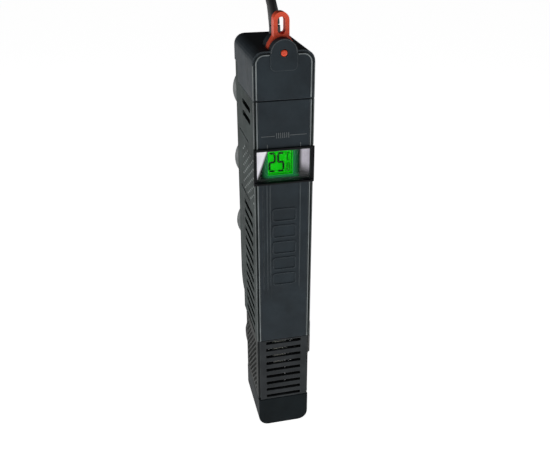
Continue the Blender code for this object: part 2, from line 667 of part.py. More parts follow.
def cord_tube(name, route, parent, material):
    """A length of cord as a curve with a round section and closed ends."""
    curve = bpy.data.curves.new(name, "CURVE")
    curve.dimensions = "3D"
    curve.bevel_depth = CORD_RADIUS * MM
    curve.bevel_resolution = 2
    curve.use_fill_caps = True
    points = smooth_route(route, 3.4 * CORD_RADIUS)
    spline = curve.splines.new("POLY")
    spline.points.add(len(points) - 1)
    for target, point in zip(spline.points, points):
        target.co = (*(point * MM), 1.0)
    curve.materials.append(material)
    obj = bpy.data.objects.new(name, curve)
    obj.parent = parent
    bpy.context.scene.collection.objects.link(obj)


def build_cord(frame, materials):
    """The strain relief, the free cord, the hank with its ties, and the plug lying on the hank."""
    rubber = materials["black_rubber"]
    profile = [(0, GLAND_BOTTOM), (6.3, GLAND_BOTTOM), (6.3, 260.5), (4.2, 260.5), (3.7, 272.0),
               (CORD_RADIUS + 0.3, GLAND_TOP), (0, GLAND_TOP)]
    solid("cord_gland", [(add_lathe, profile, "z", 20, GLAND_PLACE)], frame, rubber)
    cord_tube("power_cord", CORD_ROUTE, frame, rubber)

    hank = make_empty("hank_frame", frame, (*HANK_START, 0.0), HANK_TURN)
    outline = (arc((0.0, HANK_RUN), HANK_HALF, 0, 180, 10) + arc((0.0, 0.0), HANK_HALF, 180, 360, 10))
    solid("cord_hank", [(add_prism, outline, HANK_BOTTOM, HANK_TOP, "z")], hank, rubber)
    side = HANK_HALF + GAP
    for name, place in TIE_PLACES.items():
        outer = rounded_rect(-side - TIE_THICK, side + TIE_THICK, 0.0, HANK_TOP + GAP + TIE_THICK,
                             1.0, 1.0, 2)
        inner = rounded_rect(-side, side, HANK_BOTTOM - GAP, HANK_TOP + GAP, 0.2, 0.2, 2)
        solid(name, [(add_ring, outer, inner, place - TIE_WIDTH / 2, place + TIE_WIDTH / 2, "y")], hank,
              rubber)
    cord_tube("plug_lead", LEAD_ROUTE, hank, rubber)

    middle = PLUG_BOTTOM + PLUG_THICK / 2
    rear = PLUG_REAR + PLUG_RELIEF
    face = rear + PLUG_BODY
    plan = mirrored([(6.0, rear), (11.0, rear + 3), (13.6, rear + 14), (PLUG_HALF, rear + 24),
                     (PLUG_HALF, face)])
    top = PLUG_BOTTOM + PLUG_THICK
    plug = solid("plug_body", [(add_prism, plan, PLUG_BOTTOM, top, "z")], hank, rubber)
    bevel = plug.modifiers.new("rounded edges", "BEVEL")
    bevel.width = 2.2 * MM
    bevel.segments = 2
    relief = [(0, PLUG_REAR), (3.9, PLUG_REAR), (5.2, rear + 4), (0, rear + 4)]
    join(plug, "plug_relief", [(add_lathe, relief, "y", 16, (0.0, middle))])
    pins = {"plug_pin_left": -PIN_SPACING / 2, "plug_pin_right": PIN_SPACING / 2}
    cut(plug, "pin_sockets", [rod((x, middle), 2.3, face - 7, face + 2, "y", 14) for x in pins.values()])
    tip = face + PIN_LENGTH
    profile = [(0, face - 6.7), (2.0, face - 6.7), (2.0, tip - 1.2), (1.2, tip), (0, tip)]
    for name, x in pins.items():
        solid(name, [(add_lathe, profile, "y", 12, (x, middle))], hank, materials["brass_pin"])


def main():
    clear_scene()
    materials = {name: make_material(name) for name in MATERIALS}
    frame = make_empty("heater_frame", location=(0.0, -(CUP_RIM + FRAME_FRONT) / 2, 0.0))
    build_foot_and_basket(frame, materials)
    build_guard_shell(frame, materials)
    build_release_tabs(frame, materials)
    build_front(frame, materials)
    build_head_cap(frame, materials)
    build_lever(frame, materials)
    build_tube(frame, materials)
    build_electronics(frame, materials)
    build_bracket(frame, materials)
    build_cord(frame, materials)


main()
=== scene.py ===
"""Looks of the submersible aquarium heater: materials, fine shapes, cord, camera and light.

Everything is in metres, in the CAD model's frame. Most shapes below are given in the heater's own
millimetres, as x across the front, y back from the front panels and z up from the foot; at() turns them
into the frame.
"""

import json
import math

import bmesh
import bpy
from mathutils import Matrix, Vector


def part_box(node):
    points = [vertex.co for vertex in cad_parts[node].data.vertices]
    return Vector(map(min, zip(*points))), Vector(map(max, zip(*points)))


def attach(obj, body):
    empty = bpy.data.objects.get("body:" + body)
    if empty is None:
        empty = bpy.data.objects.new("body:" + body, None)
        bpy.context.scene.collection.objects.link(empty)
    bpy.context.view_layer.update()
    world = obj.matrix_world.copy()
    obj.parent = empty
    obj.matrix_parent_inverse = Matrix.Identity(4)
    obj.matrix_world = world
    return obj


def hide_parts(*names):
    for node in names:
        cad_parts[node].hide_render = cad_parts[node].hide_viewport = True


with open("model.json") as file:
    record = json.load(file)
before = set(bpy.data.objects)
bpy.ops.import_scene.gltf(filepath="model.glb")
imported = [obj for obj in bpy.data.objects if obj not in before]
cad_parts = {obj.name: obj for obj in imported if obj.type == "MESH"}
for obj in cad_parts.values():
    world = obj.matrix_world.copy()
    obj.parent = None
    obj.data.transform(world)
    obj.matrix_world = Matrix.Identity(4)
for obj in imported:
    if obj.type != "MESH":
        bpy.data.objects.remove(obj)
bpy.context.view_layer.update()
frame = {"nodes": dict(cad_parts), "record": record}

MM = 0.001
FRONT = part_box("upper_fascia")[0].y
BODY = "heater_body"

# Camera, in the heater's millimetres and degrees, and the stage
CAMERA_PLACE = (-90.83, -376.55, 353.68)
CAMERA_AZIMUTH = -12.7209
CAMERA_TILT = 63.8613
CAMERA_ROLL = -0.2889
CAMERA_LENS = 44.166
BACKDROP_RADIUS = 2.8
FLOOR_REACH = 3.0
LIT_MIDDLE = (0.0, 0.0, 0.13)

# Cord: the route repeats the CAD model's, and the hank's frame is the one its solid was made in
CORD_RADIUS = 0.003
CORD_ROUTE = (
    (0.0004, -0.00935, 0.2843),
    (0.0001, -0.00925, 0.2885),
    (-0.0006, -0.00875, 0.2930),
    (-0.0017, -0.00735, 0.2985),
    (-0.0026, -0.00395, 0.3065),
    (-0.0020, 0.00155, 0.3150),
    (0.0002, 0.00905, 0.3223),
    (0.0034, 0.01855, 0.3264),
    (0.0068, 0.02855, 0.3256),
    (0.0093, 0.03755, 0.3202),
    (0.0106, 0.04455, 0.3110),
    (0.0109, 0.04865, 0.3005),
    (0.0113, 0.05025, 0.2898),
    (0.0126, 0.05105, 0.2785),
    (0.0135, 0.05145, 0.2670),
    (0.0132, 0.05165, 0.2540),
    (0.0106, 0.05145, 0.2250),
    (0.0050, 0.05085, 0.1800),
    (-0.0014, 0.04985, 0.1200),
    (-0.0050, 0.04905, 0.0700),
    (-0.0060, 0.04905, 0.0420),
    (-0.0062, 0.04965, 0.0265),
    (-0.0061, 0.05325, 0.0146),
    (-0.0058, 0.06205, 0.0059),
    (-0.0049, 0.07405, 0.0032),
)
HANK_START = (19.5, 79.0)
HANK_TURN = -2.86
HANK_RUN = 90.0
HANK_FOLD = 18.0
HANK_TURNS = 3
LAYER_RISE = 6.1
FIRST_LAYER = 4.4
FLOOR_LAYER = 3.2

# Front panels: their half width, their back, the profile of the bead and groove by each long edge, and
# the lines, outlines and marks on them
PANEL_HALF = 16.9
PANEL_BACK = 2.1
EDGE_PROFILE = ((15.65, 0.0), (15.75, -0.5), (16.05, -0.5), (16.15, 0.2), (16.3, 0.35), (16.7, 0.35),
                (PANEL_HALF, 0.05))
BEAD_INNER = 16.1
LOWER_PANEL = (75.5, 193.3)
UPPER_PANEL = (214.7, 244.8)
LOWER_LINES = ((-13.4, -0.5), (-10.9, 0.5), (-8.9, 0.3), (10.5, 0.5))
LINES_FADE = (106.0, 128.0)
RIDGE_HALF = 0.2
EMBOSS_COUNT = 5
EMBOSS_SPAN = (119.5, 175.5)
EMBOSS_SIDES = (-7.6, 8.3)
EMBOSS_GAP = 2.6
EMBOSS_STROKE = 0.8
TICK_LINES = ((-14.0, -5.6), (3.6, 14.0))
TICKS = (-4.6, 1.25, 7)
MARKS = (-10.3, 10.3)
CORNER_SPANS = ((75.8, 191.8), (216.4, 244.7), (245.6, 266.0))

# Display
LCD_FACE = 10.3
LCD_BOX = (-8.1, 8.1, 194.3, 210.4)
DIGIT_DEPTHS = (LCD_FACE - 0.12, LCD_FACE - 0.01)
DISPLAY_MARKS = ((3.1, 3.7, 196.5, 197.1), (3.1, 3.7, 208.3, 208.9))
DISPLAY_LINES = ((7.1, 7.5, 195.2, 209.9), (-7.6, 7.5, 194.8, 195.2))
# Plates on each side of the display that carry a painted reflection: their outlines and depths
PAINTED_REFLECTION_LEFT = ((-16.8, 214.0), (-16.8, 195.2), (-15.8, 195.2), (-9.2, 214.0))
PAINTED_REFLECTION_RIGHT = (10.4, 16.8, 195.0, 214.0, 0.8)
PAINTED_REFLECTION_DEPTHS = (2.16, 2.34)
GLOW_REACH = 4.6
GLOW_DEPTHS = (1.6, 5.5)
GLOW_BACKS = (13.0, 11.0)
DIGIT_STROKE = 1.3
SEGMENTS = {"2": "abged", "5": "afgcd", "0": "abcdef", "C": "adef"}
DIGITS = (("2", -7.5, -2.9, 196.3, 209.3, DIGIT_STROKE), ("5", -2.0, 2.7, 196.3, 209.3, DIGIT_STROKE),
          ("C", 4.2, 6.3, 203.5, 208.9, 0.7), ("0", 4.1, 6.3, 196.5, 201.9, 0.7))

# Depths at which the basket turns from its paler front, a painted highlight, to its darker side, painted
# shade, and how far edge wear and painted highlight reach in from an edge
BASKET_SIDE = (1.0, 4.0)
EDGE_WEAR_AND_HIGHLIGHT_REACH = 0.45

# Suction cups, and the grips on the sides and release tabs: first height, pitch and rows
CUP_HEIGHTS = {"suction_cup_bottom": 136.0, "suction_cup_middle": 185.5, "suction_cup_top": 235.0}
CUP_PROFILE = ((0, 53.4), (4.2, 53.4), (4.6, 53.7), (4.8, 54.4), (4.8, 56.8), (4.5, 57.1), (2.9, 57.1),
               (2.9, 60.4), (6.2, 60.4), (6.8, 60.8), (7.0, 62.0), (7.5, 63.0), (9.8, 63.8), (12.5, 64.9),
               (14.7, 66.2), (16.6, 68.0), (17.9, 69.9), (18.6, 70.9), (18.7, 71.1), (18.5, 71.2),
               (16.4, 71.15), (14.6, 69.7), (12.0, 68.3), (9.0, 67.2), (6.0, 66.4), (3.0, 65.9), (0, 65.8))
GRIP_HEIGHTS = (179.5, 2.85, 11)
GRIP_PLACES = {"side": (2.6, 11.8), "tab": (21.0, 30.2)}
GRIP_STAGGER = 4.6
GRIP_PROFILE = ((0, 19.1), (0.35, 19.06), (0.62, 18.9), (0.76, 18.65), (0.8, 18.4), (0, 18.4))

# Screws, and the plug and tie in the hank's own frame
SCREW_PLACE = (11.5, 266.0)
CROSS_HALF = 0.45
CROSS_DEPTHS = (59.1, 59.42)
RIB_PLACES = (80.0, 83.2, 86.4, 89.6, 92.8)
PIN_CENTRES = ((-9.3, 39.05), (9.3, 39.05))
NEAR_TIE = 5.0


def at(x, y, z):
    """A point given in the heater's millimetres, in the frame."""
    return Vector((x * MM, FRONT + y * MM, z * MM))


def add_object(name, data):
    obj = bpy.data.objects.new(name, data)
    bpy.context.scene.collection.objects.link(obj)
    return obj


def make_mesh(name, bm, material):
    mesh = bpy.data.meshes.new(name)
    bm.to_mesh(mesh)
    bm.free()
    mesh.materials.append(material)
    return mesh


# Camera, floor and light


def add_camera():
    data = bpy.data.cameras.new("camera")
    data.lens = CAMERA_LENS
    data.sensor_width = 36.0
    camera = add_object("camera", data)
    turned = Matrix.Identity(4)
    for angle, axis in ((CAMERA_AZIMUTH, "Z"), (CAMERA_TILT, "X"), (CAMERA_ROLL, "Z")):
        turned = turned @ Matrix.Rotation(math.radians(angle), 4, axis)
    camera.matrix_world = Matrix.Translation(at(*CAMERA_PLACE)) @ turned
    bpy.context.scene.camera = camera


def add_area_light(name, place, size, power):
    """A rectangular light that faces the middle of the heater."""
    data = bpy.data.lights.new(name, "AREA")
    data.shape = "RECTANGLE"
    data.size, data.size_y = size
    data.energy = power
    light = add_object(name, data)
    light.location = place
    light.rotation_euler = (Vector(LIT_MIDDLE) - Vector(place)).to_track_quat("-Z", "Y").to_euler()


def add_studio():
    """A pale floor, a pale backdrop that only the camera sees, and soft lights around the heater."""
    material, _, shader = new_material("studio_floor")
    shader.inputs["Base Color"].default_value = (0.93, 0.93, 0.93, 1.0)
    shader.inputs["Roughness"].default_value = 0.9
    shader.inputs["Specular IOR Level"].default_value = 0.1
    shader.inputs["Emission Color"].default_value = (1.0, 1.0, 1.0, 1.0)
    shader.inputs["Emission Strength"].default_value = 0.94

    bm = bmesh.new()
    bmesh.ops.create_grid(bm, x_segments=8, y_segments=8, size=FLOOR_REACH)
    add_object("floor", make_mesh("floor", bm, material))

    bm = bmesh.new()
    bmesh.ops.create_uvsphere(bm, u_segments=48, v_segments=24, radius=BACKDROP_RADIUS)
    backdrop = add_object("backdrop", make_mesh("backdrop", bm, material))
    backdrop.visible_diffuse = False
    backdrop.visible_glossy = False
    backdrop.visible_transmission = False
    backdrop.visible_shadow = False

    world = bpy.data.worlds.new("studio")
    world.use_nodes = True
    sky = world.node_tree.nodes["Background"]
    sky.inputs["Color"].default_value = (1.0, 1.0, 1.0, 1.0)
    sky.inputs["Strength"].default_value = 0.05
    bpy.context.scene.world = world
    bpy.context.scene.view_settings.view_transform = "Standard"

    add_area_light("key_left", (-0.95, 0.05, 0.16), (0.8, 0.35), 3.0)
    add_area_light("fill_front", (-0.30, -1.1, 0.16), (0.8, 0.4), 2.0)
    add_area_light("rim_right", (0.9, -0.25, 0.16), (0.4, 0.5), 2.0)


# Meshes: outlines are lists of two-number points, and solids are made in the heater's millimetres


def arc(centre, radius, start, end, steps):
    angles = (math.radians(start + (end - start) * i / steps) for i in range(steps + 1))
    return [(centre[0] + radius * math.cos(a), centre[1] + radius * math.sin(a)) for a in angles]


def circle(centre, radius, segments):
    return arc(centre, radius, 0, 360, segments)[:-1]


def rounded_rect(left, right, low, high, radius=0.0, steps=5):
    if not radius:
        return [(right, low), (right, high), (left, high), (left, low)]
    corners = ((right - radius, low + radius, -90), (right - radius, high - radius, 0),
               (left + radius, high - radius, 90), (left + radius, low + radius, 180))
    return [p for a, b, start in corners for p in arc((a, b), radius, start, start + 90, steps)]


def to_3d(point, along, axis):
    a, b = point
    return {"x": (along, a, b), "y": (a, along, b), "z": (a, b, along)}[axis]


def add_prism(bm, outline, start, end, axis):
    low, high = ([bm.verts.new(to_3d(p, along, axis)) for p in outline] for along in (start, end))
    bm.faces.new(low)
    bm.faces.new(list(reversed(high)))
    for i in range(len(outline)):
        j = (i + 1) % len(outline)
        bm.faces.new((low[i], high[i], high[j], low[j]))


def add_ring(bm, outer, inner, start, end, axis):
    loops = [[bm.verts.new(to_3d(p, along, axis)) for p in outline]
             for outline, along in ((outer, start), (outer, end), (inner, end), (inner, start))]
    for k, loop in enumerate(loops):
        following = loops[(k + 1) % 4]
        for i in range(len(loop)):
            j = (i + 1) % len(loop)
            bm.faces.new((loop[i], following[i], following[j], loop[j]))


def add_lathe(bm, profile, axis, segments, centre=(0.0, 0.0)):
    rings = []
    for radius, along in profile:
        outline = circle(centre, radius, segments) if radius else [centre]
        rings.append([bm.verts.new(to_3d(p, along, axis)) for p in outline])
    for one, two in zip(rings, rings[1:]):
        for i in range(segments):
            j = (i + 1) % segments
            corners = [one[i % len(one)], two[i % len(two)], two[j % len(two)], one[j % len(one)]]
            bm.faces.new(dict.fromkeys(corners))


def add_sweep(bm, path, radius, sides):
    """A round wire along a path of points, with flat ends."""
    points = [Vector(p) for p in path]
    rings = []
    side = Vector((0.0, 1.0, 0.0))
    for i, point in enumerate(points):
        ahead = (points[min(i + 1, len(points) - 1)] - points[max(i - 1, 0)]).normalized()
        side = (side - ahead * side.dot(ahead)).normalized()
        up = ahead.cross(side)
        section = circle((0.0, 0.0), radius, sides)
        rings.append([bm.verts.new(point + side * a + up * b) for a, b in section])
    for one, two in zip(rings, rings[1:]):
        for i in range(sides):
            j = (i + 1) % sides
            bm.faces.new((one[i], one[j], two[j], two[i]))
    bm.faces.new(list(reversed(rings[0])))
    bm.faces.new(rings[-1])


def add_panel(bm, low, high, lines=(), fade=(0.0, 1.0)):
    """A front panel as a relief: beads and grooves by its long edges, and lines that fade downwards."""
    columns = [(side * x, height, False) for side in (-1, 1) for x, height in EDGE_PROFILE]
    for x, height in lines:
        columns += [(x - 0.35, 0.0, True), (x - 0.15, height, True), (x + 0.15, height, True),
                    (x + 0.35, 0.0, True)]
    columns.sort()
    edge = 0.35
    count = round((high - low) / 3.0)
    rows = [low, *(low + edge + (high - low - 2 * edge) * i / count for i in range(count + 1)), high]
    grid = []
    for z in rows:
        part = min(1.0, max(0.0, (z - fade[0]) / (fade[1] - fade[0])))
        soft = part * part * (3 - 2 * part)
        rounding = edge if z in (low, high) else 0.0
        grid.append([bm.verts.new((x, rounding - height * (soft if fades else 1.0), z))
                     for x, height, fades in columns])
    for one, two in zip(grid, grid[1:]):
        for i in range(len(columns) - 1):
            bm.faces.new((one[i], one[i + 1], two[i + 1], two[i]))
    rim = [e for e in bm.edges if e.is_boundary]
    skirt = bmesh.ops.extrude_edge_only(bm, edges=rim)["geom"]
    for part in skirt:
        if isinstance(part, bmesh.types.BMVert):
            part.co.y = PANEL_BACK
    bmesh.ops.holes_fill(bm, edges=[e for e in bm.edges if e.is_boundary])


def make_piece(name, shapes, material, body=BODY, bevel=0.0, turn=None):
    """A piece from shapes in the heater's millimetres, rounded at its edges, riding on a body."""
    bm = bmesh.new()
    for add, *values in shapes:
        add(bm, *values)
    bmesh.ops.recalc_face_normals(bm, faces=bm.faces)
    if turn:
        bmesh.ops.transform(bm, matrix=turn, verts=bm.verts)
    bmesh.ops.scale(bm, vec=(MM, MM, MM), verts=bm.verts)
    bmesh.ops.translate(bm, vec=at(0, 0, 0), verts=bm.verts)
    mesh = make_mesh(name, bm, material)
    mesh.shade_smooth()
    mesh.set_sharp_from_angle(angle=math.radians(40))
    obj = add_object(name, mesh)
    if bevel:
        add_bevel(obj, bevel)
    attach(obj, body)
    return obj


def add_bevel(obj, width):
    bevel = obj.modifiers.new("rounded edges", "BEVEL")
    bevel.width = width * MM
    bevel.segments = 2
    bevel.limit_method = "ANGLE"
    bevel.angle_limit = math.radians(30)
    bevel.harden_normals = True


def block(left, right, front, back, low, high):
    return (add_prism, rounded_rect(left, right, front, back), low, high, "z")


def rod(centre, radius, low, high):
    """An upright round rod."""
    return (add_prism, circle(centre, radius, 12), low, high, "z")


# Materials


def new_material(name):
    material = bpy.data.materials.new(name)
    material.use_nodes = True
    return material, material.node_tree, material.node_tree.nodes["Principled BSDF"]


def object_place(tree):
    """The place on the object, in metres: one node that the whole material shares."""
    coords = tree.nodes.get("place") or tree.nodes.new("ShaderNodeTexCoord")
    coords.name = "place"
    return coords.outputs["Object"]


def add_noise(tree, scale, detail=3.0, roughness=0.55):
    noise = tree.nodes.new("ShaderNodeTexNoise")
    noise.inputs["Scale"].default_value = scale
    noise.inputs["Detail"].default_value = detail
    noise.inputs["Roughness"].default_value = roughness
    tree.links.new(object_place(tree), noise.inputs["Vector"])
    return noise.outputs["Fac"]


def add_ramp(tree, factor, stops):
    """A colour ramp over a factor: stops are (position, colour)."""
    ramp = tree.nodes.new("ShaderNodeValToRGB")
    elements = ramp.color_ramp.elements
    for element, (position, _) in zip(elements, stops):
        element.position = position
    for position, _ in stops[len(elements):]:
        elements.new(position)
    for element, (_, colour) in zip(elements, stops):
        element.color = (*colour, 1.0)
    tree.links.new(factor, ramp.inputs["Fac"])
    return ramp.outputs["Color"]


def add_range(tree, factor, low, high):
    span = tree.nodes.new("ShaderNodeMapRange")
    span.inputs["To Min"].default_value = low
    span.inputs["To Max"].default_value = high
    tree.links.new(factor, span.inputs["Value"])
    return span.outputs["Result"]


def add_edge_mask(tree):
    """1 along edges and 0 on flat faces: how far a rounded normal turns from the face's own."""
    rounded = tree.nodes.new("ShaderNodeBevel")
    rounded.samples = 6
    rounded.inputs["Radius"].default_value = EDGE_WEAR_AND_HIGHLIGHT_REACH * MM
    face = tree.nodes.new("ShaderNodeNewGeometry")
    turn = tree.nodes.new("ShaderNodeVectorMath")
    turn.operation = "DOT_PRODUCT"
    tree.links.new(rounded.outputs["Normal"], turn.inputs[0])
    tree.links.new(face.outputs["Normal"], turn.inputs[1])
    span = tree.nodes.new("ShaderNodeMapRange")
    span.inputs["From Min"].default_value = 0.995
    span.inputs["From Max"].default_value = 0.85
    tree.links.new(turn.outputs["Value"], span.inputs["Value"])
    return span.outputs["Result"]


def add_mix(tree, factor, one, two):
    mix = tree.nodes.new("ShaderNodeMix")
    mix.data_type = "RGBA"
    tree.links.new(factor, mix.inputs["Factor"])
    tree.links.new(one, mix.inputs["A"])
    if isinstance(two, tuple):
        mix.inputs["B"].default_value = (*two, 1.0)
    else:
        tree.links.new(two, mix.inputs["B"])
    return mix.outputs["Result"]


def add_math(tree, operation, one, two=0.0):
    """A socket's value, worked on by itself or with a number or another socket."""
    node = tree.nodes.new("ShaderNodeMath")
    node.operation = operation
    tree.links.new(one, node.inputs[0])
    if isinstance(two, float):
        node.inputs[1].default_value = two
    else:
        tree.links.new(two, node.inputs[1])
    return node.outputs["Value"]


def add_cloud(tree, scale, detail, dark, light):
    """A colour that wanders softly between a darker and a lighter one."""
    return add_ramp(tree, add_noise(tree, scale, detail), [(0.3, dark), (0.7, light)])


def shades(colour, *factors):
    return [tuple(c * k for c in colour) for k in factors]


def moulded(name, colour, roughness=0.4, spread=0.25, grain=2600.0, bump=0.25, specular=0.5, edge_wear_and_highlight=None):
    """Moulded plastic or rubber: a fine grain, cloudy colour, uneven gloss, and edges lightened as wear and
    as painted highlight.
    """
    material, tree, shader = new_material(name)
    base = add_cloud(tree, 60.0, 4.0, *shades(colour, 1 - spread, 1 + spread))
    # Edges lightened in noisy patches: partly rubbed wear, partly a painted highlight where light would
    # catch them
    if edge_wear_and_highlight:
        patches = add_range(tree, add_noise(tree, 220.0, 3.0), 0.35, 1.0)
        base = add_mix(tree, add_math(tree, "MULTIPLY", add_edge_mask(tree), patches), base, edge_wear_and_highlight)
    tree.links.new(base, shader.inputs["Base Color"])
    smear = add_noise(tree, 140.0, 5.0, 0.7)
    tree.links.new(add_range(tree, smear, roughness * 0.75, roughness * 1.25), shader.inputs["Roughness"])
    fine = add_noise(tree, grain, 2.0)
    height = tree.nodes.new("ShaderNodeBump")
    height.inputs["Strength"].default_value = bump
    height.inputs["Distance"].default_value = 0.00008
    tree.links.new(fine, height.inputs["Height"])
    tree.links.new(height.outputs["Normal"], shader.inputs["Normal"])
    shader.inputs["Specular IOR Level"].default_value = specular
    return material


def metal(name, colour, roughness):
    """Drawn or turned metal with faint uneven polish."""
    material = moulded(name, colour, roughness, 0.08, 1800.0, 0.1)
    material.node_tree.nodes["Principled BSDF"].inputs["Metallic"].default_value = 1.0
    return material


def glass(name, colour, roughness, transmission=1.0, alpha=1.0):
    material = moulded(name, colour, roughness, 0.03, 300.0, 0.02)
    shader = material.node_tree.nodes["Principled BSDF"]
    shader.inputs["Transmission Weight"].default_value = transmission
    shader.inputs["Alpha"].default_value = alpha
    return material


def lit_display(name, colour, strength):
    """A backlit display: light that is a little uneven across its face."""
    material, tree, shader = new_material(name)
    glow = add_cloud(tree, 90.0, 2.0, *shades(colour, 0.88, 1.1))
    tree.links.new(glow, shader.inputs["Base Color"])
    tree.links.new(glow, shader.inputs["Emission Color"])
    shader.inputs["Emission Strength"].default_value = strength
    shader.inputs["Roughness"].default_value = 0.35
    shader.inputs["Specular IOR Level"].default_value = 0.05
    return material


def add_axis(tree, axis):
    """One coordinate of the place on the object, in metres."""
    split = tree.nodes.get("axes")
    if not split:
        split = tree.nodes.new("ShaderNodeSeparateXYZ")
        split.name = "axes"
        tree.links.new(object_place(tree), split.inputs["Vector"])
    return split.outputs[axis]


def add_outside(tree, value, low, high):
    """How far a value lies outside a span, and 0 inside it."""
    from_middle = add_math(tree, "ABSOLUTE", add_math(tree, "SUBTRACT", value, (low + high) / 2))
    return add_math(tree, "MAXIMUM", add_math(tree, "SUBTRACT", from_middle, (high - low) / 2))


def add_painted_glow(material):
    """The display's green light, painted as a glow on a dark part behind its window: strongest near the lit
    face.
    """
    tree = material.node_tree
    shader = tree.nodes["Principled BSDF"]
    left, right, low, high = (v * MM for v in LCD_BOX)
    corner = tree.nodes.new("ShaderNodeCombineXYZ")
    tree.links.new(add_outside(tree, add_axis(tree, "X"), left, right), corner.inputs["X"])
    tree.links.new(add_outside(tree, add_axis(tree, "Z"), low, high), corner.inputs["Y"])
    distance = tree.nodes.new("ShaderNodeVectorMath")
    distance.operation = "LENGTH"
    tree.links.new(corner.outputs["Vector"], distance.inputs[0])
    near = add_smooth_step(tree, distance.outputs["Value"], GLOW_REACH * MM, 0.0)
    deep = add_smooth_step(tree, add_axis(tree, "Y"), *(FRONT + v * MM for v in GLOW_DEPTHS))
    inside = add_smooth_step(tree, add_axis(tree, "Y"), *(FRONT + v * MM for v in GLOW_BACKS))
    factor = add_math(tree, "MULTIPLY", add_math(tree, "MULTIPLY", near, deep), inside)
    glow = add_ramp(tree, factor, [(0.0, (0.0, 0.0, 0.0)), (1.0, (0.008, 0.16, 0.045))])
    tree.links.new(glow, shader.inputs["Emission Color"])
    shader.inputs["Emission Strength"].default_value = 1.0
    return material


def add_smooth_step(tree, value, start, end):
    """0 at a value's start and 1 at its end, with a soft change between them."""
    span = tree.nodes.new("ShaderNodeMapRange")
    span.interpolation_type = "SMOOTHSTEP"
    span.inputs["From Min"].default_value = start
    span.inputs["From Max"].default_value = end
    tree.links.new(value, span.inputs["Value"])
    return span.outputs["Result"]


def add_fade(tree, slope, start, soft):
    """0 to 1 across a soft line: how far x and a share of z together lie past its start, in metres."""
    line = add_math(tree, "ADD", add_math(tree, "MULTIPLY", add_axis(tree, "Z"), slope), add_axis(tree, "X"))
    return add_smooth_step(tree, line, start, start + soft)


def reflector(name, colour, *fades):
    """A painted reflection on a plate beside the display: pale, glowing colour that darkens past one or more
    soft lines.
    """
    material = moulded(name, colour, 0.4, 0.12, bump=0.1)
    tree = material.node_tree
    shader = tree.nodes["Principled BSDF"]
    pale = shader.inputs["Base Color"].links[0].from_socket
    black = add_cloud(tree, 60.0, 3.0, (0.004, 0.005, 0.005), (0.007, 0.008, 0.008))
    factor = add_fade(tree, *fades[0])
    for fade in fades[1:]:
        factor = add_math(tree, "MULTIPLY", factor, add_fade(tree, *fade))
    shade = add_mix(tree, factor, black, pale)
    tree.links.new(shade, shader.inputs["Base Color"])
    # The pale part glows too, as part of the painted reflection
    tree.links.new(shade, shader.inputs["Emission Color"])
    shader.inputs["Emission Strength"].default_value = 0.55
    return material


def basket_plastic():
    """Moulded plastic that is paler on the smooth front, a painted highlight, than on the fine side mesh,
    which is darkened with a fine speckle as painted shade.
    """
    material = moulded("basket_plastic", (0.036, 0.040, 0.043), 0.5, bump=0.5, grain=1500.0, specular=0.06,
                       edge_wear_and_highlight=(0.12, 0.13, 0.13))
    tree = material.node_tree
    shader = tree.nodes["Principled BSDF"]
    # Painted highlight on the front and painted shade on the sides, blended by depth back from the front
    deep = add_smooth_step(tree, add_axis(tree, "Y"), *(FRONT + v * MM for v in BASKET_SIDE))
    front = shader.inputs["Base Color"].links[0].from_socket
    side = add_cloud(tree, 900.0, 2.0, (0.004, 0.006, 0.005), (0.010, 0.013, 0.011))
    tree.links.new(add_mix(tree, deep, front, side), shader.inputs["Base Color"])
    return material


